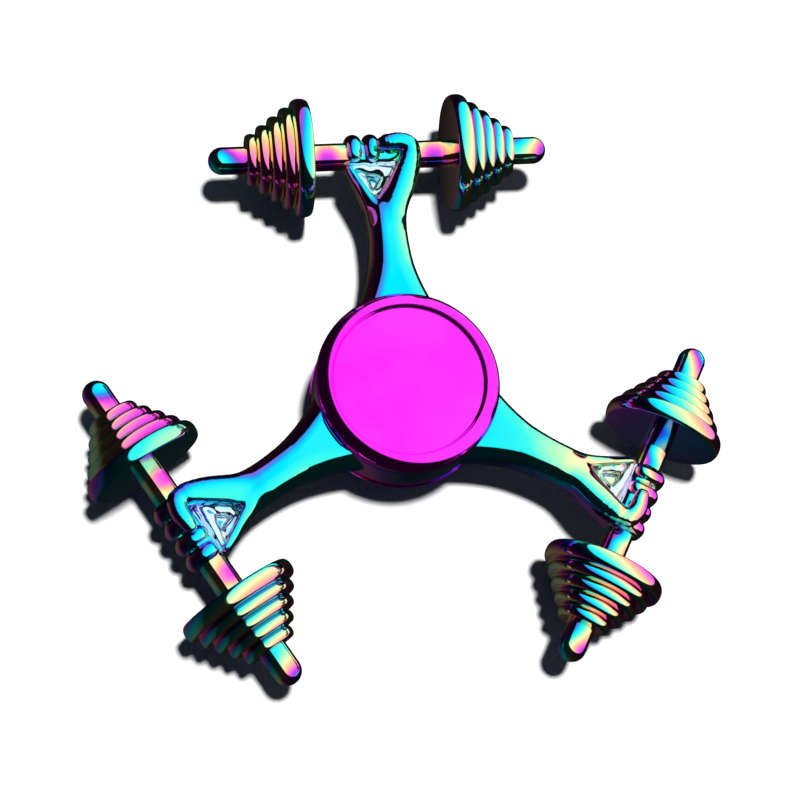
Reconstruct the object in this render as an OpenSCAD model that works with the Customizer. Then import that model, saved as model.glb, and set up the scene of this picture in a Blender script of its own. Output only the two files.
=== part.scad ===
// Three-armed fidget spinner: each arm is a forearm whose fist grips a barbell.
// Millimetres. +Z is the spin axis, the origin is the centre of the bearing, arm 1 points along +Y.

/* [Overall] */
// Distance from the spin axis to each bar
bar_reach = 30.5; // [26:0.2:38]
// Length of each bar, tip to tip
bar_length = 42.4; // [35:0.5:52]
// Number of arms
arm_count = 3; // [2:1:3]

/* [Hub] */
// Diameter of the hub
hub_d = 21.8; // [20.5:0.1:24]
// Thickness of the hub and the arms
frame_t = 6.2; // [6.1:0.1:8]
// Rounding of the hub's edges
hub_edge_r = 0.9; // [0.3:0.1:1.1]

/* [Arms] */
// Width of an arm where it leaves the hub
arm_root_w = 9; // [7:0.1:11]
// Width of the wrist
wrist_w = 4.7; // [3.8:0.1:6]
// Distance from the bar back to the start of the palm
palm_l = 7.4; // [6:0.1:9]

/* [Fists] */
// Width of a fist across its four fingers
fist_w = 8.9; // [7.5:0.1:10]
// Half the thickness of a finger
finger_r = 1.18; // [1:0.02:1.4]
// Metal between the bar and the middle of a finger
finger_wrap = 0.1; // [0:0.02:0.5]
// Half the thickness of the thumb
thumb_r = 1.05; // [0.8:0.05:1.3]
// Height of the hollow of the palm above the mid-plane
palm_floor_z = 1.2; // [0.4:0.1:2]

/* [Barbells] */
// Diameter of the bar
bar_d = 3.4; // [2.8:0.1:4]
// Distance from the middle of the bar to the inner face of a weight
weight_gap = 8.8; // [7:0.1:11]
// Number of plates in a weight
plate_count = 5; // [3:1:6]
// Diameter of the largest plate
plate_d = 14.6; // [12.5:0.1:17]
// How much smaller in diameter each next plate is
plate_step = 2.04; // [1:0.02:2.1]
// Thickness of the largest plate
plate_first_t = 2; // [1.5:0.1:2.5]
// Thickness of the other plates
plate_t = 1.45; // [1.2:0.05:1.8]
// Depth of the valley between two rims
rim_valley = 0.15; // [0.05:0.05:0.3]

/* [Finger caps] */
// Diameter of a finger cap
cap_d = 22; // [18:0.1:25]
// Width of the rounded rim of a finger cap
cap_rim_w = 1.8; // [1.4:0.1:2.2]
// Depth of the dish below the rim
dish_depth = 0.6; // [0.3:0.05:0.8]
// Gap between a finger cap and the hub
cap_gap = 0.4; // [0.3:0.05:1]
// Diameter of the stud that joins the two caps
stud_d = 3.2; // [2.4:0.1:4]
// Length of the stud
stud_l = 2.3; // [1.6:0.1:2.5]

/* [Bearing] */
// Outer diameter of the bearing
bearing_d = 17; // [16:0.1:18]
// Bore of the bearing
bearing_bore = 6; // [5:0.1:6.4]
// Width of the bearing
bearing_w = 6; // [5.6:0.1:6.2]
// Diameter of a ball
ball_d = 3.5; // [3.2:0.05:3.8]
// Number of balls
ball_count = 6; // [5:1:6]
// Clearance between a ball and a ring
ball_play = 0.02; // [0.01:0.005:0.03]
// Thickness of the cage's sheet
cage_t = 0.35; // [0.25:0.05:0.45]
// Thickness of a shield
shield_t = 0.3; // [0.2:0.05:0.4]

/* [Hidden] */
$fn = 64;

press_play = 0.01;      // radial play left between two pieces that are pressed together
eps = 0.01;
hub_r = hub_d / 2;
half_t = frame_t / 2;
bar_r = bar_d / 2;

// Bearing: the balls run midway between the bore and the outside
pitch_r = (bearing_d + bearing_bore) / 4;
ball_r = ball_d / 2;
groove_r = 0.52 * ball_d;
groove_depth = 0.55;
ring_chamfer = 0.3;
inner_land_r = pitch_r - ball_r + groove_depth;
outer_land_r = pitch_r + ball_r - groove_depth;
shield_seat = 0.3;      // depth of the shield's seat in the outer ring's land
shield_inset = 0.2;     // how far a shield sits below the ring's face
shield_play = 0.3;      // gap between a shield and the inner ring
pocket_play = 0.05;
cage_inner_r = inner_land_r + 0.5;
cage_outer_r = outer_land_r - 0.5;
rivet_r = 0.3;

// Finger caps: a shoulder rests on the inner ring and a boss fills the bore
cap_r = cap_d / 2;
rim_r = cap_rim_w / 2;
cap_z = half_t + cap_gap;
shoulder_r = inner_land_r - 0.25;
boss_r = bearing_bore / 2 - press_play;
boss_end_z = 0.05;
socket_depth = stud_l + 0.2;

// Arm outline: waist midway between the hub's rim and the bar
arm_half = arm_root_w / 2;
wrist_half = wrist_w / 2;
waist_y = (hub_r + bar_reach) / 2 - 0.6;
side_len = waist_y - hub_r;
fist_half = fist_w / 2;
palm_front = 1.2;       // how far the palm block reaches past the bar
edge_soft = 0.87;       // how far the arm's long edges are rounded off: 1 leaves them square
function waist_half(t) = wrist_half + (arm_half - wrist_half) * t * t;
function soft(half_w) = edge_soft * norm([half_w, half_t]);

// Fingers: four rounded rolls that curl round the bar
finger_pitch = (fist_w - 2 * finger_r) / 3;
finger_turn_r = bar_r + finger_wrap;
curl_from = -120;       // degrees from straight out, on the back of the hand
curl_to = 84;           // degrees from straight out, where the fingertips end
tip_swell = 0.1;        // a fingertip is this much fuller than the finger

// Weights: half-round rims on a stepped cone
bar_half = bar_length / 2;
function plate_r(i) = (plate_d - i * plate_step) / 2;
function plate_h(i) = i == 0 ? plate_first_t : plate_t;
function plate_z(i) = weight_gap + (i == 0 ? 0 : plate_first_t + (i - 1) * plate_t);

module at_arm(i) {
    rotate([0, 0, (i - 1) * 360 / arm_count]) children();
}

// Puts a part drawn on the Z axis on the bar's axis
module on_bar() {
    translate([0, bar_reach, 0]) rotate([0, 90, 0]) children();
}

module mirrored_z() {
    children();
    mirror([0, 0, 1]) children();
}

// A round limb between two points
module limb(a, b, r) {
    v = b - a;
    turn = atan2(v.y, v.x);
    lean = acos(v.z / norm(v));
    translate(a) rotate([0, lean, turn]) cylinder(r = r, h = norm(v));
    translate(b) sphere(r = r + tip_swell);
}

module hub_blank() {
    flat = half_t - hub_edge_r;
    rotate_extrude() {
        translate([0, -half_t]) square([hub_r - hub_edge_r, frame_t]);
        translate([0, -flat]) square([hub_r, 2 * flat]);
        for (s = [-1, 1]) translate([hub_r - hub_edge_r, s * flat]) circle(r = hub_edge_r);
    }
}

module arm_outline() {
    rim_y = hub_r / 2;
    hand_y = bar_reach - palm_l;
    wide_y = bar_reach - 1.6;
    front_y = bar_reach + palm_front;
    right = concat([[arm_half, rim_y]],
                   [for (t = [1:-0.2:0]) [waist_half(t), waist_y - t * side_len]],
                   [[wrist_half + 0.1, hand_y], [fist_half - 0.15, wide_y], [fist_half - 0.15, front_y]]);
    left = [for (k = [len(right) - 1:-1:0]) [-right[k].x, right[k].y]];
    polygon(concat(right, left));
}

// Turned shape that rounds the long edges of the arm
module arm_envelope() {
    end_y = bar_reach + palm_front + 1;
    rotate([-90, 0, 0]) rotate_extrude()
        polygon([[0, 0], [soft(arm_half) + 0.4, 0], [soft(arm_half), hub_r], [soft(wrist_half), waist_y],
                 [soft(wrist_half) + 0.1, bar_reach - palm_l], [soft(fist_half), bar_reach - 1.6],
                 [soft(fist_half) + 0.1, end_y], [0, end_y]]);
}

module fingers() {
    translate([0, bar_reach, 0]) rotate([90, 0, 90]) {
        rotate_extrude(angle = curl_to - curl_from, start = curl_from) {
            for (k = [-1.5:1:1.5]) translate([finger_turn_r, k * finger_pitch]) circle(r = finger_r);
            translate([bar_r - 0.5, -fist_half + finger_r])
                square([finger_wrap + 0.5 + finger_r * 0.55, fist_w - 2 * finger_r]);
        }
        for (k = [-1.5:1:1.5]) rotate([0, 0, curl_to])
            translate([finger_turn_r, 0, k * finger_pitch]) sphere(r = finger_r + tip_swell);
    }
}

module thumb() {
    lift = bar_r + finger_wrap + finger_r + thumb_r * 0.55;
    wrist = [wrist_half - 0.3, bar_reach - palm_l - 1.2, half_t - thumb_r];
    root = [fist_half - 1.1, bar_reach - 1.9, half_t];
    bend = [fist_half - 0.95, bar_reach - 0.3, lift];
    tip = [-0.3, bar_reach + 0.35, lift];
    translate(wrist) sphere(r = thumb_r + tip_swell);
    limb(wrist, root, thumb_r);
    limb(root, bend, thumb_r);
    limb(bend, tip, thumb_r);
}

module palm_hollow() {
    translate([0, bar_reach, palm_floor_z]) linear_extrude(height = frame_t)
        polygon([[-fist_half + 0.75, -1.2], [-0.9, -5.5], [fist_half - 2.3, -1.2]]);
}

module arm() {
    difference() {
        intersection() {
            translate([0, 0, -half_t]) linear_extrude(height = frame_t) arm_outline();
            arm_envelope();
        }
        palm_hollow();
    }
    fingers();
    thumb();
}

module spinner_frame() {
    color("mediumturquoise") difference() {
        union() {
            hub_blank();
            for (i = [1:arm_count]) at_arm(i) arm();
        }
        cylinder(r = bearing_d / 2 + press_play, h = 2 * frame_t, center = true);
        for (i = [1:arm_count]) at_arm(i) on_bar()
            cylinder(r = bar_r + press_play, h = 2 * fist_w, center = true);
    }
}

module bar() {
    color("mediumorchid") on_bar() {
        cylinder(r = bar_r, h = bar_length - bar_d, center = true);
        mirrored_z() translate([0, 0, bar_half - bar_r]) sphere(r = bar_r);
    }
}

module weight() {
    bore_r = bar_r + press_play;
    last = plate_count - 1;
    cone_z = weight_gap + 2 * rim_valley;
    cone_inset = 3 * rim_valley;
    color("mediumseagreen") on_bar() rotate_extrude() difference() {
        union() {
            for (i = [0:last]) {
                half_h = plate_h(i) / 2;
                translate([plate_r(i) - half_h, plate_z(i) + half_h]) circle(r = half_h);
                translate([0, plate_z(i)]) square([plate_r(i) - half_h, plate_h(i)]);
            }
            polygon([[0, cone_z], [plate_r(0) - cone_inset, cone_z],
                     [plate_r(last) - rim_valley, plate_z(last)], [0, plate_z(last)]]);
        }
        square([bore_r, plate_z(plate_count) + eps]);
    }
}

module outer_ring() {
    color("silver") rotate_extrude() difference() {
        w = bearing_d / 2;
        h = bearing_w / 2;
        polygon([[outer_land_r, -h], [w - ring_chamfer, -h], [w, -h + ring_chamfer],
                 [w, h - ring_chamfer], [w - ring_chamfer, h], [outer_land_r, h]]);
        translate([pitch_r + ball_r + ball_play - groove_r, 0]) circle(r = groove_r);
        for (s = [-1, 1]) translate([0, s * h]) square([2 * (outer_land_r + shield_seat),
            2 * (shield_inset + shield_t)], center = true);
    }
}

module inner_ring() {
    color("silver") rotate_extrude() difference() {
        w = bearing_bore / 2;
        h = bearing_w / 2;
        polygon([[w, -h + ring_chamfer], [w + ring_chamfer, -h], [inner_land_r, -h],
                 [inner_land_r, h], [w + ring_chamfer, h], [w, h - ring_chamfer]]);
        translate([pitch_r - ball_r - ball_play + groove_r, 0]) circle(r = groove_r);
    }
}

module at_ball(i) {
    rotate([0, 0, (i - 0.5) * 360 / ball_count]) translate([pitch_r, 0, 0]) children();
}

module ball(i) {
    color("gainsboro") at_ball(i) sphere(r = ball_r);
}

module at_rivets() {
    for (i = [1:ball_count]) rotate([0, 0, i * 360 / ball_count])
        translate([pitch_r, 0, 0]) children();
}

// Ribbon cage half: a flat ring with a cup over each ball
module cage_half() {
    difference() {
        union() {
            cylinder(r = cage_outer_r, h = cage_t);
            intersection() {
                cylinder(r = cage_outer_r, h = ball_r + pocket_play + cage_t);
                for (i = [1:ball_count]) at_ball(i) sphere(r = ball_r + pocket_play + cage_t);
            }
        }
        cylinder(r = cage_inner_r, h = ball_d * 2, center = true);
        for (i = [1:ball_count]) at_ball(i) sphere(r = ball_r + pocket_play);
    }
}

// The upper half carries the rivets that go through the lower half
module cage_upper() {
    color("gold") {
        cage_half();
        at_rivets() translate([0, 0, -cage_t]) cylinder(r = rivet_r, h = 2 * cage_t);
    }
}

module cage_lower() {
    color("gold") difference() {
        mirror([0, 0, 1]) cage_half();
        at_rivets() cylinder(r = rivet_r + press_play, h = 4 * cage_t, center = true);
    }
}

module shield() {
    low = bearing_w / 2 - shield_inset - shield_t;
    color("lightsteelblue") rotate_extrude()
        translate([inner_land_r + shield_play, low])
            square([outer_land_r + shield_seat - press_play - inner_land_r - shield_play, shield_t]);
}

// Dished disc with a rounded rim, a shoulder on the inner ring and a boss in the bore
module cap_blank() {
    rotate_extrude() {
        translate([0, cap_z]) square([cap_r - rim_r, cap_rim_w - dish_depth]);
        translate([cap_r - rim_r, cap_z + rim_r]) circle(r = rim_r);
        translate([0, bearing_w / 2]) square([shoulder_r, cap_z - bearing_w / 2 + eps]);
        translate([0, boss_end_z]) square([boss_r, bearing_w / 2]);
    }
}

module cap_upper() {
    color("magenta") {
        cap_blank();
        translate([0, 0, boss_end_z - stud_l]) cylinder(d = stud_d, h = stud_l + eps);
    }
}

module cap_lower() {
    color("magenta") difference() {
        mirror([0, 0, 1]) cap_blank();
        translate([0, 0, boss_end_z - socket_depth])
            cylinder(d = stud_d + 2 * press_play, h = socket_depth + eps);
    }
}

spinner_frame();
for (i = [1:arm_count]) {
    at_arm(i) bar();
    at_arm(i) weight();
    at_arm(i) mirror([1, 0, 0]) weight();
}
outer_ring();
inner_ring();
for (i = [1:ball_count]) {
    ball(i);
}
cage_upper();
cage_lower();
shield();  // shield_upper
mirror([0, 0, 1]) shield();  // shield_lower
cap_upper();
cap_lower();
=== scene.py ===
"""Looks of a three-armed fidget spinner: fists gripping barbells, rainbow mirror coating, dished caps."""
import math

import bpy
import numpy as np
from mathutils import Matrix, Vector


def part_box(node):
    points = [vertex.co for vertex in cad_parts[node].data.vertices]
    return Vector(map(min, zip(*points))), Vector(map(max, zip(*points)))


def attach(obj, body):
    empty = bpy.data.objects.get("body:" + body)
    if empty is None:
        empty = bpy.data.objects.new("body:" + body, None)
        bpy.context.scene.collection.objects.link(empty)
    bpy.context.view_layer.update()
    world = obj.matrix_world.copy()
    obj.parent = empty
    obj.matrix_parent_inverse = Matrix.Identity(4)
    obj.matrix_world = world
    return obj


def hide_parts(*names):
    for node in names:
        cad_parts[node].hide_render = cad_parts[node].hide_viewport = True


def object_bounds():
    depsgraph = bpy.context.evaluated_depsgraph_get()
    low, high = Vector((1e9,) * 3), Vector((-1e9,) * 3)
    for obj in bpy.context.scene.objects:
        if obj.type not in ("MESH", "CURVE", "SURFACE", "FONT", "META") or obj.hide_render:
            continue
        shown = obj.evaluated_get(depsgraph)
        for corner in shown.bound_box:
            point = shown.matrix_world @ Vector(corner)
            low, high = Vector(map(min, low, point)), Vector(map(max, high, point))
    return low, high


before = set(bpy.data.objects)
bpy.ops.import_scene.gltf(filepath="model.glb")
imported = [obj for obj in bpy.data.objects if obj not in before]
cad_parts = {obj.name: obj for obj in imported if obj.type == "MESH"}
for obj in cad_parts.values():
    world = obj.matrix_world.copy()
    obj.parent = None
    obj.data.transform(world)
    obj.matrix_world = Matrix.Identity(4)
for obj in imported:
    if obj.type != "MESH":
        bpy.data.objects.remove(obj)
cad_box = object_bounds()

MM = 0.001
ARMS = (1, 2, 3)


# ---------------------------------------------------------------- sizes in mm, most of them from the CAD parts

def box_mm(node):
    """Low and high corner of a node's box."""
    low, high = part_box(node)
    return np.array(low) / MM, np.array(high) / MM


bar_low, bar_high = box_mm("bar_1")
REACH = (bar_low[1] + bar_high[1]) / 2
BAR_R = (bar_high[2] - bar_low[2]) / 2
BAR_HALF = bar_high[0]
weight_low, weight_high = box_mm("weight_1_right")
PLATE_R = weight_high[2]
WEIGHT_IN = weight_low[0]
WEIGHT_OUT = weight_high[0]
cap_high = box_mm("cap_upper")[1]
CAP_R = cap_high[0]
CAP_TOP = cap_high[2]
BEARING_R = box_mm("outer_ring")[1][0]
BEARING_HALF = box_mm("outer_ring")[1][2]
# Thickness of the largest plate of a weight
FIRST_PLATE_T = 2.0
HUB_R = 10.9
HUB_HALF = 3.1
# The caps stand a little clear of the hub
CAP_UNDER = HUB_HALF + 0.4
# Radial gap between pieces that are fitted into each other
FIT = 0.01


def arm_turn(arm):
    """Turn from the first arm, which points along +Y, to this arm."""
    return Matrix.Rotation((arm - 1) * 2 * math.pi / len(ARMS), 4, "Z")


# ---------------------------------------------------------------- meshes

def add_object(name, data):
    """Puts a new object that shows this mesh, light or camera into the scene."""
    thing = bpy.data.objects.new(name, data)
    bpy.context.scene.collection.objects.link(thing)
    return thing


def add_mesh(name, verts_mm, faces):
    """A smooth-shaded object from corners in mm and faces that all have the same number of corners."""
    mesh = bpy.data.meshes.new(name)
    verts = np.asarray(verts_mm, dtype=np.float64) * MM
    faces = np.asarray(faces, dtype=np.int32)
    sides = faces.shape[1]
    mesh.vertices.add(len(verts))
    mesh.vertices.foreach_set("co", verts.ravel())
    mesh.loops.add(faces.size)
    mesh.loops.foreach_set("vertex_index", faces.ravel())
    mesh.polygons.add(len(faces))
    mesh.polygons.foreach_set("loop_start", np.arange(len(faces), dtype=np.int32) * sides)
    mesh.polygons.foreach_set("use_smooth", np.full(len(faces), True))
    mesh.update(calc_edges=True)
    mesh.validate()
    return add_object(name, mesh)


def arc(centre, radius, start, end, steps):
    """Points of a circular arc in a profile's plane, angles in degrees."""
    angles = np.radians(np.linspace(start, end, steps + 1))
    return [(centre[0] + radius * math.cos(a), centre[1] + radius * math.sin(a)) for a in angles]


def turned_points(profile, steps):
    """The points of a (radius, z) profile, turned about Z in equal steps."""
    ring = np.asarray(profile, dtype=float)
    angles = np.arange(steps) * 2 * math.pi / steps
    return np.stack([np.outer(np.cos(angles), ring[:, 0]), np.outer(np.sin(angles), ring[:, 0]),
                     np.tile(ring[:, 1], (steps, 1))], axis=2).reshape(-1, 3)


def lathe(name, profile, steps):
    """A closed solid turned about Z. The profile is a closed loop of (radius, z)."""
    count = len(profile)
    a = np.arange(steps)[:, None]
    b = (a + 1) % steps
    i = np.arange(count)[None, :]
    j = (i + 1) % count
    faces = np.stack([a * count + i, b * count + i, b * count + j, a * count + j], axis=2).reshape(-1, 4)
    return add_mesh(name, turned_points(profile, steps), faces)


def on_axis_lathe(name, profile, steps):
    """A solid turned about Z whose profile starts and ends on the axis."""
    verts = turned_points(profile[1:-1], steps)
    ends = np.array([[0, 0, profile[0][1]], [0, 0, profile[-1][1]]], dtype=float)
    first, last = len(verts), len(verts) + 1
    count = len(profile) - 2
    starts = [(k * count, (k + 1) % steps * count) for k in range(steps)]
    faces = [(a + i, b + i, b + i + 1, a + i + 1) for a, b in starts for i in range(count - 1)]
    faces += [(first, b, a) for a, b in starts]
    faces += [(last, a + count - 1, b + count - 1) for a, b in starts]
    mesh = bpy.data.meshes.new(name)
    mesh.from_pydata((np.vstack([verts, ends]) * MM).tolist(), [], faces)
    mesh.polygons.foreach_set("use_smooth", np.full(len(mesh.polygons), True))
    mesh.update()
    return add_object(name, mesh)


def smooth_by_angle(piece, degrees):
    """Sharp edges where faces meet at more than this angle, smooth elsewhere."""
    piece.data.set_sharp_from_angle(angle=math.radians(degrees))


# ---------------------------------------------------------------- the sculpted arm, a distance field in mm

def smin(a, b, k):
    """The smaller of two distances, which joins two forms with a fillet of about k."""
    h = np.maximum(k - np.abs(a - b), 0) / k
    return np.minimum(a, b) - h * h * h * k / 6


def smax(a, b, k):
    """The larger of two distances, which cuts one form by another and rounds the edge by about k."""
    return -smin(-a, -b, k)


def limb(p, a, b, ra, rb):
    """A tapered round limb from a to b."""
    a = np.asarray(a, float)
    d = np.asarray(b, float) - a
    t = np.clip((p - a) @ d / (d @ d), 0, 1)
    return np.linalg.norm(p - a - t[:, None] * d, axis=1) - (ra + t * (rb - ra))


def rounded_path(steps, values):
    """A smooth curve through evenly numbered values, read at the given steps."""
    last = len(values) - 1
    slopes = np.gradient(values)
    n = np.minimum(steps.astype(int), last - 1)
    t = steps - n
    a, b, da, db = values[n], values[n + 1], slopes[n], slopes[n + 1]
    return ((2 * t ** 3 - 3 * t ** 2 + 1) * a + (t ** 3 - 2 * t ** 2 + t) * da
            + (3 * t ** 2 - 2 * t ** 3) * b + (t ** 3 - t ** 2) * db)


def softplus(v, width):
    """Rises smoothly from 0 to v as v passes 0."""
    return 0.5 * (v + np.sqrt(v * v + width))


# Half widths of the arm at the hub, at the wrist and across the palm
ROOT_HALF = 4.5
WRIST_HALF = 2.35
PALM_HALF = 4.5
# Places along the arm are measured from the bar, outwards
WRIST_Y = -10.3
PALM_Y = -4.3
# The palm's height above the mid-plane, and how steeply it rises towards the thumb and towards the fingers
PALM_Z = 2.75
PALM_RISE = (0.31, 0.24)
# Fingers: spacing, half thickness, radius of the curl, and its start and ends in degrees from straight out
FINGER_PITCH = 2.2
FINGER_R = 1.08
CURL_R = 1.45
CURL_FROM = -125
CURL_TO = (100, 100, 76, 68)
# Corners of the palm's hollow: below the little finger, at the wrist and below the thumb
HOLLOW_CORNERS = ((-4.1, -1.45), (-1.15, -6.5), (3.0, -0.7))
HOLLOW_FLOOR = -0.5
# Radius of the skin that covers the bar
GRIP_R = 2.02
# Centre line and half thickness of the thumb, from the wrist to the tip: x, y, z, radius
THUMB = np.array([(0.2, -10.5, 0.0, 1.2), (0.9, -7.4, 1.05, 1.5),
                  (2.3, -4.2, 2.0, 1.6), (3.2, -1.9, 2.95, 1.32),
                  (3.3, -0.35, 3.35, 1.2), (2.1, 0.28, 3.5, 1.12),
                  (0.9, 0.25, 3.5, 1.02), (0.0, 0.2, 3.35, 0.8)])


def palm_rise(x, y):
    """How far the sloping palm stands above PALM_Z, or below it where negative."""
    return PALM_RISE[0] * x + PALM_RISE[1] * (y - PALM_Y)


def forearm(x, y, z):
    """Waisted bar of rounded section, broad at the hub, nearly round at the wrist, widening to the palm."""
    to_root = np.clip((WRIST_Y - y) / (WRIST_Y + REACH - HUB_R), 0, 1.6)
    half_w = WRIST_HALF + (ROOT_HALF - WRIST_HALF) * to_root ** 2
    half_w = half_w + 0.36 * softplus(y + 7.0, 1.5) * (y > WRIST_Y - 3)
    half_w = np.where(y > WRIST_Y, smin(half_w, PALM_HALF, 0.8), half_w)
    half_t = PALM_Z + 0.3 * to_root
    round_r = np.minimum(half_w, half_t) * 0.9
    hand = np.clip((y - WRIST_Y) / 6.5, 0, 1)
    lift = palm_rise(x, y) * hand * hand * (3 - 2 * hand) * np.clip(z / 1.5, 0, 1)
    qx = np.abs(x) - (half_w - round_r)
    qz = np.abs(z - lift) - (half_t - round_r)
    section = np.hypot(np.maximum(qx, 0), np.maximum(qz, 0)) + np.minimum(np.maximum(qx, qz), 0) - round_r
    return smax(section, y - 0.9, 1.2)


def finger_arc(x, y, z, across, curl_to):
    """A finger curled round the bar, with round ends."""
    middle = math.radians((CURL_FROM + curl_to) / 2)
    half = math.radians((curl_to - CURL_FROM) / 2)
    angle = np.arctan2(z, y) - middle
    angle = (angle + math.pi) % (2 * math.pi) - math.pi
    angle = np.clip(angle, -half, half) + middle
    return np.sqrt((x - across) ** 2 + (y - CURL_R * np.cos(angle)) ** 2
                   + (z - CURL_R * np.sin(angle)) ** 2) - FINGER_R


def fingers(p):
    """Four fingers from the little one to the index, each with its knuckle and its bone behind the palm."""
    x, y, z = p.T
    out = None
    for n, curl_to in enumerate(CURL_TO):
        across = (n - 1.5) * FINGER_PITCH
        one = finger_arc(x, y, z, across, curl_to)
        knuckle = limb(p, (across, 1.55, -0.9), (across, 1.5, 0.6), FINGER_R, 1.05)
        one = smin(one, knuckle, 0.4)
        back = limb(p, (across * 0.35, -8.0, -1.4), (across, -0.4, -1.6), 0.9, 1.1)
        one = smin(one, back, 0.6)
        out = one if out is None else smin(out, one, 0.14)
    return out


def thumb(p):
    """The thumb rises from the wrist, bends over the index finger and crosses the bar."""
    out = None
    steps = np.linspace(0, len(THUMB) - 1, 22)
    path = np.stack([rounded_path(steps, THUMB[:, n]) for n in range(4)], axis=1)
    for a, b in zip(path[:-1], path[1:]):
        one = limb(p, a[:3], b[:3], a[3], b[3])
        out = one if out is None else np.minimum(out, one)
    return out


def side_distance(x, y, a, b):
    """Distance to the line from a to b, positive on its right."""
    side = np.subtract(b, a)
    normal = np.array([side[1], -side[0]]) / np.hypot(*side)
    return (x - a[0]) * normal[0] + (y - a[1]) * normal[1]


def hollow_outline(x, y):
    """Signed distance to the rounded triangle of the palm's hollow, open towards the fingers."""
    out = None
    for n in range(3):
        d = side_distance(x, y, HOLLOW_CORNERS[n], HOLLOW_CORNERS[(n + 1) % 3])
        out = d if out is None else smax(out, d, 0.9)
    return smin(out, -1.5 - y, 0.3)


def palm_plane(x, y):
    """Height of the palm's rim, which rises towards the thumb and the fingers."""
    return PALM_Z + palm_rise(x, y)


def hollow_floor(y):
    """Height of the bottom of the hollow, which also covers the bar."""
    over_bar = np.sqrt(np.maximum(GRIP_R ** 2 - np.minimum(y, -0.1) ** 2, 0.0))
    return smax(HOLLOW_FLOOR, over_bar, 0.3)


def palm_folds(p):
    """The soft rolls of skin lying in the hollow: below the fingers, beside the thumb and on the heel."""
    below_fingers = limb(p, (-3.4, -2.0, 0.9), (1.5, -2.7, 0.75), 0.55, 1.05)
    beside_thumb = limb(p, (-0.9, -5.2, 0.0), (1.0, -3.4, 0.75), 0.8, 0.95)
    on_heel = limb(p, (-2.9, -3.0, 0.4), (-1.7, -5.0, 0.1), 0.85, 0.75)
    ripple = 0.12 * np.sin(1.7 * p[:, 0] + 2.1 * p[:, 1]) * np.sin(1.3 * p[:, 0] - 1.9 * p[:, 1] + 0.8)
    return smin(smin(below_fingers, beside_thumb, 0.35), on_heel, 0.35) + ripple


def arm_field(p):
    """Signed distance to the first arm and its fist, from points in the object's own frame."""
    local = p - np.array([0, REACH, 0])
    x, y, z = local.T
    out = forearm(x, y, z)
    heel = limb(local, (0.2, -10.8, 0.6), (-3.55, -2.2, 1.1), 0.8, 1.0)
    out = smin(out, heel, 1.3)
    pad, wrist = HOLLOW_CORNERS[:2]
    beyond_heel = smin(side_distance(x, y, pad, wrist), wrist[0] - 0.3 - x, 0.8)
    towards_wrist = np.maximum(-3.4 - y, 0)
    heel_slope = 0.98 * (z - palm_plane(x, y)) + 0.18 * beyond_heel - 0.3 * towards_wrist ** 2
    out = smax(out, heel_slope, 0.5)
    out = smin(out, thumb(local), 1.1)
    hollow = smax(hollow_outline(x, y), hollow_floor(y) - z, 0.3)
    out = smax(out, -hollow, 0.9)
    out = smin(out, palm_folds(local), 0.35)
    out = smin(out, fingers(local), 0.2)
    out = smin(out, thumb(local), 0.8)
    bore = np.hypot(y, z) - (BAR_R + FIT)
    return np.maximum(out, -bore)


def sample_field(field, low, high, step):
    """The field on a grid over the box, exact near the surface and rough elsewhere."""
    shape = np.ceil((high - low) / step).astype(int) + 1
    coarse = 4
    rough_axes = [(low[n] + step * np.arange(shape[n]))[::coarse] for n in range(3)]
    grid = np.stack(np.meshgrid(*rough_axes, indexing="ij"), axis=-1).reshape(-1, 3)
    rough = field(grid).reshape([len(axis) for axis in rough_axes])
    values = rough.repeat(coarse, 0).repeat(coarse, 1).repeat(coarse, 2)
    values = values[: shape[0], : shape[1], : shape[2]]
    near = np.abs(values) < step * coarse * 2.2
    points = low + step * np.argwhere(near)
    batches = np.array_split(points, max(1, len(points) // 200000))
    values[near] = np.concatenate([field(batch) for batch in batches])
    # The outermost layer is outside, so that the mesh closes
    for n in range(3):
        edge = [slice(None)] * 3
        for end in (0, -1):
            edge[n] = end
            values[tuple(edge)] = np.maximum(values[tuple(edge)], step)
    return values


def crossed_cells(inside):
    """The cells that the surface passes through."""
    shape = inside.shape
    count = np.zeros(np.subtract(shape, 1), dtype=np.int8)
    for dx, dy, dz in np.ndindex(2, 2, 2):
        count += inside[dx:shape[0] - 1 + dx, dy:shape[1] - 1 + dy, dz:shape[2] - 1 + dz]
    return np.argwhere((count > 0) & (count < 8))


def cell_middles(values, cells):
    """In each cell, the mean of the places where the surface crosses the cell's edges."""
    total = np.zeros((len(cells), 3))
    hits = np.zeros(len(cells))
    for a in np.ndindex(2, 2, 2):
        for n in range(3):
            if a[n]:
                continue
            b = list(a)
            b[n] = 1
            va = values[tuple((cells + a).T)]
            vb = values[tuple((cells + b).T)]
            crossed = (va < 0) != (vb < 0)
            place = np.tile(np.array(a, float), (len(cells), 1))
            place[:, n] = np.where(crossed, va / np.where(crossed, va - vb, 1), 0)
            total += place * crossed[:, None]
            hits += crossed
    return cells + total / hits[:, None]


def moved_onto(field, verts, reach):
    """The points, moved along the field's slope onto its surface."""
    probe = 0.01
    for _ in range(3):
        value = field(verts)
        slope = np.stack([(field(verts + e) - field(verts - e)) / (2 * probe)
                          for e in np.eye(3) * probe], axis=1)
        move = value[:, None] * slope / np.maximum((slope ** 2).sum(1), 0.2)[:, None]
        verts = verts - np.clip(move, -reach, reach)
    return verts


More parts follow.
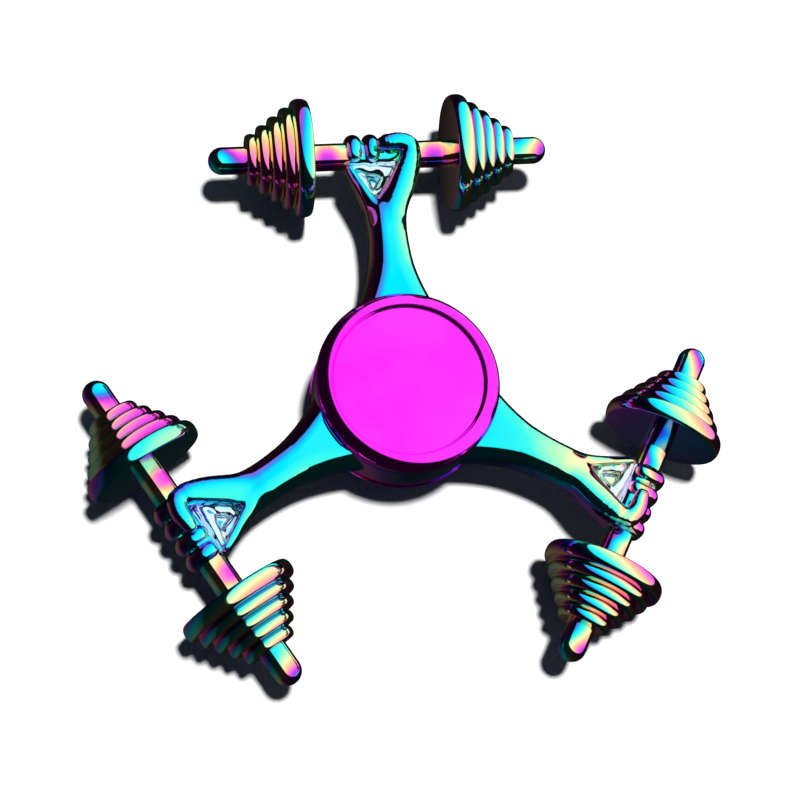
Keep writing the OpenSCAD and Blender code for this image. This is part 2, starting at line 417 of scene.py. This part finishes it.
def crossing_faces(inside, number):
    """One face for each grid edge that the surface crosses, through the four cells round that edge."""
    faces = []
    for n in range(3):
        u, v = (n + 1) % 3, (n + 2) % 3
        first = [slice(1, -1)] * 3
        first[n] = slice(0, -1)
        second = list(first)
        second[n] = slice(1, None)
        start, end = inside[tuple(first)], inside[tuple(second)]
        offset = np.array([1, 1, 1])
        offset[n] = 0
        du, dv = np.eye(3, dtype=int)[[u, v]]
        for flip, crossing in ((False, start & ~end), (True, ~start & end)):
            at = np.argwhere(crossing) + offset
            quad = [number[tuple((at - back).T)] for back in (du + dv, dv, 0 * du, du)]
            if flip:
                quad.reverse()
            faces.append(np.stack(quad, axis=1))
    return np.concatenate(faces)


def surface_of(field, low, high, step):
    """Closed quad mesh of field = 0 inside the box: one vertex per crossed cell, moved onto the surface."""
    low, high = np.asarray(low, float), np.asarray(high, float)
    values = sample_field(field, low, high, step)
    inside = values < 0
    cells = crossed_cells(inside)
    number = np.full(np.subtract(inside.shape, 1), -1, dtype=np.int64)
    number[tuple(cells.T)] = np.arange(len(cells))
    verts = moved_onto(field, low + step * cell_middles(values, cells), step / 2)
    return verts, crossing_faces(inside, number)


# ---------------------------------------------------------------- materials

def new_material(name):
    """A material with its nodes, its links and its main shader."""
    material = bpy.data.materials.new(name)
    material.use_nodes = True
    nodes = material.node_tree.nodes
    return material, nodes, material.node_tree.links, nodes["Principled BSDF"]


def math_node(nodes, links, operation, a, b):
    """The result of an operation on a and b, each a number or another node's output."""
    node = nodes.new("ShaderNodeMath")
    node.operation = operation
    for socket, value in zip(node.inputs, (a, b)):
        if isinstance(value, (int, float)):
            socket.default_value = value
        else:
            links.new(value, socket)
    return node.outputs[0]


def dot_node(nodes, links, vector, direction):
    """How far a vector goes along a direction."""
    node = nodes.new("ShaderNodeVectorMath")
    node.operation = "DOT_PRODUCT"
    links.new(vector, node.inputs[0])
    node.inputs[1].default_value = direction
    return node.outputs["Value"]


def noise_node(nodes, links, vector, scale, detail, distortion=0.0):
    node = nodes.new("ShaderNodeTexNoise")
    links.new(vector, node.inputs["Vector"])
    node.inputs["Scale"].default_value = scale
    node.inputs["Detail"].default_value = detail
    node.inputs["Distortion"].default_value = distortion
    return node.outputs["Fac"]


def ramp_node(nodes, links, factor, stops):
    """Colours between stops of (place, colour)."""
    node = nodes.new("ShaderNodeValToRGB")
    links.new(factor, node.inputs["Fac"])
    ramp = node.color_ramp
    while len(ramp.elements) < len(stops):
        ramp.elements.new(0.5)
    for element, (place, colour) in zip(ramp.elements, stops):
        element.position = place
        element.color = (*colour, 1)
    return node.outputs["Color"]


# Unevenness of the film's phase, from 0 to this much
FILM_NOISE = 0.16
# Interference colours in the order in which a thickening film shows them, back to the first
FILM = [
    (0.00, (1.00, 0.93, 0.50)),
    (0.13, (0.45, 1.00, 0.55)),
    (0.24, (0.05, 0.95, 0.80)),
    (0.36, (0.00, 0.80, 1.00)),
    (0.48, (0.02, 0.28, 0.85)),
    (0.58, (0.30, 0.06, 0.70)),
    (0.68, (0.95, 0.07, 0.80)),
    (0.80, (1.00, 0.30, 0.55)),
    (0.90, (1.00, 0.60, 0.28)),
    (1.00, (1.00, 0.93, 0.50)),
]


def surface_finish(nodes, links, shader, place, gloss, wave):
    """Roughness with faint polishing marks, and the low ripples of a cast and coated surface."""
    marks = noise_node(nodes, links, place, 900.0, 4.0)
    spread = nodes.new("ShaderNodeMapRange")
    links.new(marks, spread.inputs["Value"])
    spread.inputs["To Min"].default_value = gloss
    spread.inputs["To Max"].default_value = gloss + 0.05
    links.new(spread.outputs["Result"], shader.inputs["Roughness"])
    ripple = noise_node(nodes, links, place, 260.0, 3.0, 0.4)
    bump = nodes.new("ShaderNodeBump")
    bump.inputs["Strength"].default_value = wave
    bump.inputs["Distance"].default_value = 0.00004
    links.new(ripple, bump.inputs["Height"])
    links.new(bump.outputs["Normal"], shader.inputs["Normal"])


def film_finish(nodes, links, shader, place, phase, gloss):
    """Ends a film material: the phase, a little uneven, goes through FILM to the base colour."""
    uneven = math_node(nodes, links, "MULTIPLY", noise_node(nodes, links, place, 110.0, 1.0), FILM_NOISE)
    phase = math_node(nodes, links, "ADD", phase, uneven)
    turn = math_node(nodes, links, "FRACT", phase, 0.0)
    links.new(ramp_node(nodes, links, turn, FILM), shader.inputs["Base Color"])
    shader.inputs["Metallic"].default_value = 1.0
    surface_finish(nodes, links, shader, place, gloss, 0.25)


def span(nodes, links, value, start, end, first, last):
    """A smooth step of a value, from first at start to last at end."""
    node = nodes.new("ShaderNodeMapRange")
    node.interpolation_type = "SMOOTHSTEP"
    links.new(value, node.inputs["Value"])
    for socket, number in zip(("From Min", "From Max", "To Min", "To Max"), (start, end, first, last)):
        node.inputs[socket].default_value = number
    return node.outputs["Result"]


def add_all(nodes, links, *terms):
    total = terms[0]
    for term in terms[1:]:
        total = math_node(nodes, links, "ADD", total, term)
    return total


def frame_film(name):
    """The casting's film, thinner out along arm 3, with painted reflection: the hue turns with the side a
    surface faces.
    """
    material, nodes, links, shader = new_material(name)
    coords = nodes.new("ShaderNodeTexCoord")
    place, normal = coords.outputs["Object"], coords.outputs["Normal"]
    # Painted reflection: the hue turns with the side a surface faces, standing in for what each side
    # mirrors of the studio
    painted_reflection_axis = (-0.36, 0.16, -0.30)
    side = dot_node(nodes, links, normal, painted_reflection_axis)
    right = dot_node(nodes, links, place, (1, 0, 0))
    thinner = span(nodes, links, right, 7 * MM, 23 * MM, 0.0, -0.31)
    thicker = span(nodes, links, right, -30 * MM, -8 * MM, 0.07, 0.0)
    # Painted reflection: out along arm 3 the hue also turns with how far a surface faces +X
    turn = span(nodes, links, right, 16 * MM, 28 * MM, 0.0, -0.35)
    turn = math_node(nodes, links, "MULTIPLY", turn, dot_node(nodes, links, normal, (1, 0, 0)))
    cyan = 0.34
    phase = add_all(nodes, links, side, thinner, thicker, turn, cyan - painted_reflection_axis[2] - FILM_NOISE / 2)
    film_finish(nodes, links, shader, place, phase, 0.03)
    # Many reflections inside the palm's hollow wash the film's colour out
    folds = nodes.new("ShaderNodeAttribute")
    folds.attribute_name = "hollow"
    pale = nodes.new("ShaderNodeMix")
    pale.data_type = "RGBA"
    base = shader.inputs["Base Color"].links[0].from_socket
    links.new(folds.outputs["Fac"], pale.inputs["Factor"])
    links.new(base, pale.inputs["A"])
    pale.inputs["B"].default_value = (0.80, 0.93, 1.0, 1)
    links.new(pale.outputs["Result"], shader.inputs["Base Color"])
    return material


def bar_film(name, along, painted_reflection_axis, middle, tip_left, tip_right):
    """A bar's film in bands along the bar: phases midway from fist to weight and where each tip starts,
    plus a painted reflection that turns the hue with the side a surface faces.
    """
    material, nodes, links, shader = new_material(name)
    coords = nodes.new("ShaderNodeTexCoord")
    place, normal = coords.outputs["Object"], coords.outputs["Normal"]
    way = dot_node(nodes, links, place, along)
    out = math_node(nodes, links, "ABSOLUTE", way, 0.0)
    by_weight = 0.30
    # Inside the weights, where it doesn't show, the phase goes over to that of the tip
    hidden_in, hidden_out = 11 * MM, 14 * MM
    grip = span(nodes, links, out, 4.6 * MM, 6.4 * MM, 0.27, 0.0)
    gap = span(nodes, links, out, 7.0 * MM, WEIGHT_IN * MM, 0.0, by_weight)
    left = span(nodes, links, way, -hidden_out, -hidden_in, tip_left - middle - by_weight, 0.0)
    right = span(nodes, links, way, hidden_in, hidden_out, 0.0, tip_right - middle - by_weight)
    tip = span(nodes, links, out, 16.9 * MM, 21.0 * MM, 0.0, -0.55)
    # Painted reflection: the hue turns with the side a surface faces
    side = dot_node(nodes, links, normal, painted_reflection_axis)
    phase = add_all(nodes, links, grip, gap, left, right, tip, side, middle - painted_reflection_axis[2] - FILM_NOISE / 2)
    film_finish(nodes, links, shader, place, phase, 0.03)
    return material


def weight_film(name, along, painted_reflection_axis, first, others):
    """A weight's film, with painted reflection: the hue turns across each rim and with the side a surface
    faces. first (largest plate) and others are (phase, how far the painted reflection turns it across one
    rim).
    """
    material, nodes, links, shader = new_material(name)
    coords = nodes.new("ShaderNodeTexCoord")
    place, normal = coords.outputs["Object"], coords.outputs["Normal"]
    out = dot_node(nodes, links, place, along)
    edge = ((WEIGHT_IN + FIRST_PLATE_T - 0.1) * MM, (WEIGHT_IN + FIRST_PLATE_T + 0.2) * MM)
    start = span(nodes, links, out, *edge, first[0], others[0])
    # Painted reflection: the hue turns across each rim with the way its surface faces along the bar
    across = span(nodes, links, out, *edge, first[1], others[1])
    rim = math_node(nodes, links, "MULTIPLY", dot_node(nodes, links, normal, along), across)
    # Painted reflection: the hue turns with the side a surface faces
    side = dot_node(nodes, links, normal, painted_reflection_axis)
    phase = add_all(nodes, links, start, rim, side, -painted_reflection_axis[2] - FILM_NOISE / 2)
    film_finish(nodes, links, shader, place, phase, 0.04)
    return material


def tinted_metal(name, low, high, gloss, wave=0.2, scale=120.0):
    """Metal of one hue whose depth varies a little over the surface."""
    material, nodes, links, shader = new_material(name)
    coords = nodes.new("ShaderNodeTexCoord")
    place = coords.outputs["Object"]
    tone = noise_node(nodes, links, place, scale, 3.0)
    links.new(ramp_node(nodes, links, tone, [(0.35, low), (0.65, high)]), shader.inputs["Base Color"])
    shader.inputs["Metallic"].default_value = 1.0
    surface_finish(nodes, links, shader, place, gloss, wave)
    return material


def dress(piece, material):
    """Gives a piece its only material."""
    piece.data.materials.clear()
    piece.data.materials.append(material)


# ---------------------------------------------------------------- frame: hub and three arms

def hub_profile():
    """Hub ring with rounded edges and a low lip on each face, bored for the bearing."""
    bore = BEARING_R + FIT
    bevel, edge = 0.25, 0.9
    lip_r, lip_h = 10.0, 0.16
    half = [(bore, 0), (bore, HUB_HALF - bevel), (bore + bevel, HUB_HALF)]
    lip = [(lip_r + 0.45 * u, HUB_HALF + lip_h * (1 - u * u)) for u in np.linspace(-1, -0.2, 6)]
    half += [(lip_r - 0.9, HUB_HALF)] + lip
    half += arc((HUB_R - edge, HUB_HALF - edge + lip_h * 0.9), edge, 88, 0, 12)
    upper = half + [(HUB_R, 0.0)]
    lower = [(r, -z) for r, z in reversed(upper[1:-1])]
    return list(reversed(upper + lower))


def mark_hollows(casting):
    """Writes how deep each point lies in a palm's hollow, 0 to 0.85, as the point attribute "hollow"."""
    mesh = casting.data
    points = np.empty(len(mesh.vertices) * 3)
    mesh.vertices.foreach_get("co", points)
    points = points.reshape(-1, 3) / MM
    depth = np.zeros(len(points))
    rim_z, soft_edge, deepest = 2.3, 0.5, 0.85
    for arm in ARMS:
        x, y, z = (points @ np.array(arm_turn(arm).to_3x3())).T
        inside = np.clip(-hollow_outline(x, y - REACH) / soft_edge, 0, 1)
        inside = inside * (y < REACH - 1.2) * (y > REACH - 7)
        depth = np.maximum(depth, inside * np.clip((rim_z - z) / soft_edge, 0, 1) * (z > 0))
    values = mesh.attributes.new("hollow", "FLOAT", "POINT")
    values.data.foreach_set("value", depth * deepest)


def make_frame():
    """The casting: the turned hub and three arms joined into one, bored for the bearing."""
    # Low and high corner of a box that holds one arm, whose root ends inside the hub's ring
    low, high = (-6.2, HUB_R - 1.9, -4.4), (6.2, REACH + 4.6, 5.8)
    verts, faces = surface_of(arm_field, low, high, 0.12)
    hub = lathe("hub_ring", hub_profile(), 240)
    shells = [hub]
    for arm in ARMS:
        turned = verts @ np.array(arm_turn(arm).to_3x3()).T
        shells.append(add_mesh(f"arm_{arm}", turned, faces))
    for arm_shell in shells[1:]:
        union = hub.modifiers.new("union", "BOOLEAN")
        union.operation = "UNION"
        union.solver = "MANIFOLD"
        union.object = arm_shell
    tool_r, tool_z = 1.0, 5
    tool = [(tool_r, -tool_z), (BEARING_R + FIT, -tool_z), (BEARING_R + FIT, tool_z), (tool_r, tool_z)]
    bore = lathe("bore_tool", tool, 240)
    cut = hub.modifiers.new("bore", "BOOLEAN")
    cut.operation = "DIFFERENCE"
    cut.solver = "MANIFOLD"
    cut.object = bore
    bpy.context.view_layer.update()
    graph = bpy.context.evaluated_depsgraph_get()
    joined = bpy.data.meshes.new_from_object(hub.evaluated_get(graph))
    for shell in shells + [bore]:
        bpy.data.objects.remove(shell)
    joined.name = "spinner_casting"
    joined.polygons.foreach_set("use_smooth", np.full(len(joined.polygons), True))
    casting = add_object("spinner_casting", joined)
    smooth_by_angle(casting, 38)
    mark_hollows(casting)
    return casting


# ---------------------------------------------------------------- barbells

# Side 1 is +X seen with the arm up
SIDE_WORD = {-1: "left", 1: "right"}


def plate_profile():
    """Stepped cone of round-rimmed plates along +Z, from the bar's bore outwards."""
    plates = 5
    other_t = (WEIGHT_OUT - WEIGHT_IN - FIRST_PLATE_T) / (plates - 1)
    step = 1.02
    bore = BAR_R + FIT
    points = [(bore, WEIGHT_IN)]
    z = WEIGHT_IN
    for n in range(plates):
        largest = n == 0
        half = (FIRST_PLATE_T if largest else other_t) / 2
        bulge = 0.5 if largest else 0.42
        start = -90 if largest else -52
        points += [(PLATE_R - n * step - bulge * (1 - math.cos(a)), z + half * (1 + math.sin(a)))
                   for a in np.radians(np.linspace(start, 90, 19))]
        z += 2 * half
    points.append((bore, WEIGHT_OUT))
    return points


def along_bar(piece, arm, side):
    """Lays a piece that was turned about Z along the bar of an arm, with its +Z end to that side."""
    turn = Matrix.Rotation(math.radians(90 * side), 4, "Y")
    piece.data.transform(arm_turn(arm) @ Matrix.Translation((0, REACH * MM, 0)) @ turn)
    return piece


def make_weight(arm, side, material):
    """Five plates on one side of a bar, made as one piece."""
    word = SIDE_WORD[side]
    piece = along_bar(lathe(f"plates_{arm}_{word}", plate_profile(), 192), arm, side)
    smooth_by_angle(piece, 40)
    dress(piece, material)
    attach(piece, "rotor")
    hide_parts(f"weight_{arm}_{word}")


def make_bar(arm, material):
    """A rod with round ends."""
    end = BAR_HALF - BAR_R
    profile = [(0, -BAR_HALF)] + arc((0, -end), BAR_R, -86, 0, 14)
    profile += [(BAR_R, z) for z in np.linspace(-end, end, 41)[1:-1]]
    profile += arc((0, end), BAR_R, 0, 86, 14) + [(0, BAR_HALF)]
    piece = along_bar(on_axis_lathe(f"barbell_rod_{arm}", profile, 96), arm, 1)
    dress(piece, material)
    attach(piece, "rotor")
    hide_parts(f"bar_{arm}")


# ---------------------------------------------------------------- finger caps

def cap_profile(stud):
    """Dished disc with a quarter-round rim, and the shoulder and boss that go into the bearing."""
    crest_r, foot_z = CAP_R - 1.65, CAP_UNDER + 0.25
    depth = 0.6
    dish_z = CAP_TOP - depth
    wall_in, wall_out = crest_r - 0.5, crest_r - 0.06
    shoulder_r, boss_r, boss_z = 4.3, 2.99, 0.05
    stud_r, stud_z = 1.6, -2.25
    bevel, rim_bevel = 0.2, 0.05
    points = [(0, dish_z)] + [(r, dish_z) for r in np.linspace(0.6, wall_in - 0.1, 14)]
    for t in np.linspace(0, 1, 11):
        rise = t * t * (3 - 2 * t)
        points.append((wall_in + (wall_out - wall_in) * t, dish_z + depth * rise))
    lean = math.radians(30)
    wide = (CAP_R - crest_r) / (1 - math.sin(lean))
    tall = (CAP_TOP - foot_z) / math.cos(lean)
    points += [(CAP_R - wide * (1 - math.sin(a)), foot_z + tall * math.cos(a))
               for a in np.linspace(lean, math.pi / 2, 25)]
    points += [(CAP_R, CAP_UNDER + rim_bevel), (CAP_R - rim_bevel, CAP_UNDER)]
    points += [(shoulder_r, CAP_UNDER), (shoulder_r, BEARING_HALF)]
    points += [(boss_r, BEARING_HALF), (boss_r, boss_z + bevel), (boss_r - bevel, boss_z)]
    if stud:
        points += [(stud_r, boss_z), (stud_r, stud_z + bevel), (stud_r - bevel, stud_z), (0, stud_z)]
    else:
        end_play = 0.2
        socket_r, socket_z = stud_r + FIT, end_play - stud_z
        points += [(socket_r, boss_z), (socket_r, socket_z), (0, socket_z)]
    return list(reversed(points))


def make_cap(upper, material):
    """The upper cap has the stud, and the lower cap has the socket that it goes into."""
    name = "upper" if upper else "lower"
    piece = on_axis_lathe(f"finger_cap_{name}", cap_profile(upper), 192)
    if not upper:
        piece.data.transform(Matrix.Rotation(math.pi, 4, "X"))
    smooth_by_angle(piece, 40)
    dress(piece, material)
    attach(piece, "grip")
    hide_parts(f"cap_{name}")


# ---------------------------------------------------------------- build

# Painted reflection: how the film's phase turns with the side a surface faces, on each barbell
PAINTED_REFLECTION_AXIS = {1: (-0.30, 0.30, -0.25), 2: (-0.35, 0.20, -0.25), 3: (-0.65, 0.00, -0.20)}
# Phases of the film on each bar: midway between fist and weight, left tip, right tip
BAR_TONE = {1: (0.72, 0.72, 0.34), 2: (0.74, 0.28, 0.76), 3: (0.20, 0.20, 0.28)}
# On each weight: (phase, turn across a rim that is painted reflection) of the largest plate and of the
# others
WEIGHT_TONE = {(1, -1): ((0.40, 0.25), (0.85, -0.4)), (1, 1): ((0.18, -0.15), (0.26, -0.35)),
               (2, -1): ((0.05, -0.1), (0.12, -0.16)), (2, 1): ((0.24, -0.2), (0.76, -0.15)),
               (3, -1): ((0.10, 0.1), (0.22, 0.15)), (3, 1): ((0.08, 0.1), (0.22, 0.15))}
magenta = tinted_metal("magenta_mirror", (0.98, 0.025, 0.93), (1.00, 0.045, 1.00), 0.04, 0.10)
ground_steel = tinted_metal("ground_steel", (0.52, 0.52, 0.54), (0.68, 0.68, 0.70), 0.22)
polished_steel = tinted_metal("polished_steel", (0.70, 0.70, 0.72), (0.82, 0.82, 0.84), 0.08)
pressed_steel = tinted_metal("pressed_steel", (0.40, 0.38, 0.34), (0.58, 0.55, 0.50), 0.30)
shield_steel = tinted_metal("shield_steel", (0.45, 0.46, 0.48), (0.66, 0.67, 0.69), 0.26)

casting = make_frame()
dress(casting, frame_film("rainbow_frame"))
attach(casting, "rotor")
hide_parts("spinner_frame")

for arm in ARMS:
    along = arm_turn(arm) @ Vector((1, 0, 0))
    make_bar(arm, bar_film(f"rainbow_bar_{arm}", along, PAINTED_REFLECTION_AXIS[arm], *BAR_TONE[arm]))
    for side, word in SIDE_WORD.items():
        tone = WEIGHT_TONE[arm, side]
        film = weight_film(f"rainbow_plates_{arm}_{word}", side * along, PAINTED_REFLECTION_AXIS[arm], *tone)
        make_weight(arm, side, film)
make_cap(True, magenta)
make_cap(False, magenta)

# The bearing's pieces keep their CAD shapes
INNER = {"outer_ring": ground_steel, "inner_ring": ground_steel, "cage_upper": pressed_steel,
         "cage_lower": pressed_steel, "shield_upper": shield_steel, "shield_lower": shield_steel}
INNER.update({f"ball_{n}": polished_steel for n in range(1, 7)})
for node, material in INNER.items():
    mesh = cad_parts[node].data
    mesh.materials.clear()
    mesh.materials.append(material)


# ---------------------------------------------------------------- floor, light and camera

FLOOR_Z = cad_box[0][2]


def make_floor():
    """A plain pale floor under the weights."""
    mesh = bpy.data.meshes.new("floor")
    reach = 1.6
    mesh.from_pydata([(-reach, -reach, FLOOR_Z), (reach, -reach, FLOOR_Z), (reach, reach, FLOOR_Z),
                      (-reach, reach, FLOOR_Z)], [], [(0, 1, 2, 3)])
    floor = add_object("floor", mesh)
    material, nodes, links, shader = new_material("pale_floor")
    coords = nodes.new("ShaderNodeTexCoord")
    grain = noise_node(nodes, links, coords.outputs["Object"], 40.0, 3.0)
    links.new(ramp_node(nodes, links, grain, [(0.3, (0.86, 0.86, 0.86)), (0.7, (0.90, 0.90, 0.90))]),
              shader.inputs["Base Color"])
    shader.inputs["Roughness"].default_value = 0.9
    mesh.materials.append(material)
    floor.visible_glossy = False


def make_key_light():
    """A soft light nearly overhead, which casts the shadows."""
    light = bpy.data.lights.new("key", "SUN")
    light.energy = 4.4
    light.angle = math.radians(6)
    key = add_object("key", light)
    towards_light = Vector((0.09, 0.12, 1))
    key.rotation_euler = towards_light.to_track_quat("Z", "Y").to_euler()
    key.visible_glossy = False


def studio_world():
    """What the mirror surfaces see: one very large soft light on the right and above, dim surroundings."""
    world = bpy.data.worlds.new("studio")
    world.use_nodes = True
    nodes, links = world.node_tree.nodes, world.node_tree.links
    background = nodes["Background"]
    way = nodes.new("ShaderNodeTexCoord").outputs["Generated"]
    towards_box = dot_node(nodes, links, way, (0.596, 0.311, 0.741))
    towards_table = dot_node(nodes, links, way, (-0.72, -0.20, -0.66))
    softbox = span(nodes, links, towards_box, 0.36, 0.41, 0.0, 1.05)
    table = span(nodes, links, towards_table, 0.55, 0.98, 0.0, 0.07)
    room = 0.010
    seen = add_all(nodes, links, softbox, table, room)
    # Light that has bounced off the floor sees only a dim navy room, which keeps the shadows deep
    bounces = nodes.new("ShaderNodeLightPath").outputs["Diffuse Depth"]
    from_floor = math_node(nodes, links, "GREATER_THAN", bounces, 0.5)
    mix = nodes.new("ShaderNodeMix")
    mix.data_type = "RGBA"
    links.new(from_floor, mix.inputs["Factor"])
    links.new(seen, mix.inputs["A"])
    mix.inputs["B"].default_value = (0.003, 0.007, 0.017, 1)
    links.new(mix.outputs["Result"], background.inputs["Color"])
    bpy.context.scene.world = world


def make_camera():
    """The photo's view, from above and a little to the lower left."""
    data = bpy.data.cameras.new("camera")
    data.lens = 80.1
    data.sensor_width = 36
    data.clip_start = 0.01
    camera = add_object("camera", data)
    place = Vector((-35.4, -57.0, 202.2)) * MM
    look = Vector((0.164, 0.263, -0.951)).normalized()
    up = Vector((0.057, 0.960, 0.275))
    up = (up - look * up.dot(look)).normalized()
    turn = Matrix((look.cross(up), up, -look)).transposed()
    camera.matrix_world = Matrix.Translation(place) @ turn.to_4x4()
    bpy.context.scene.camera = camera


make_floor()
make_key_light()
studio_world()
make_camera()
bpy.context.scene.view_settings.view_transform = "Standard"
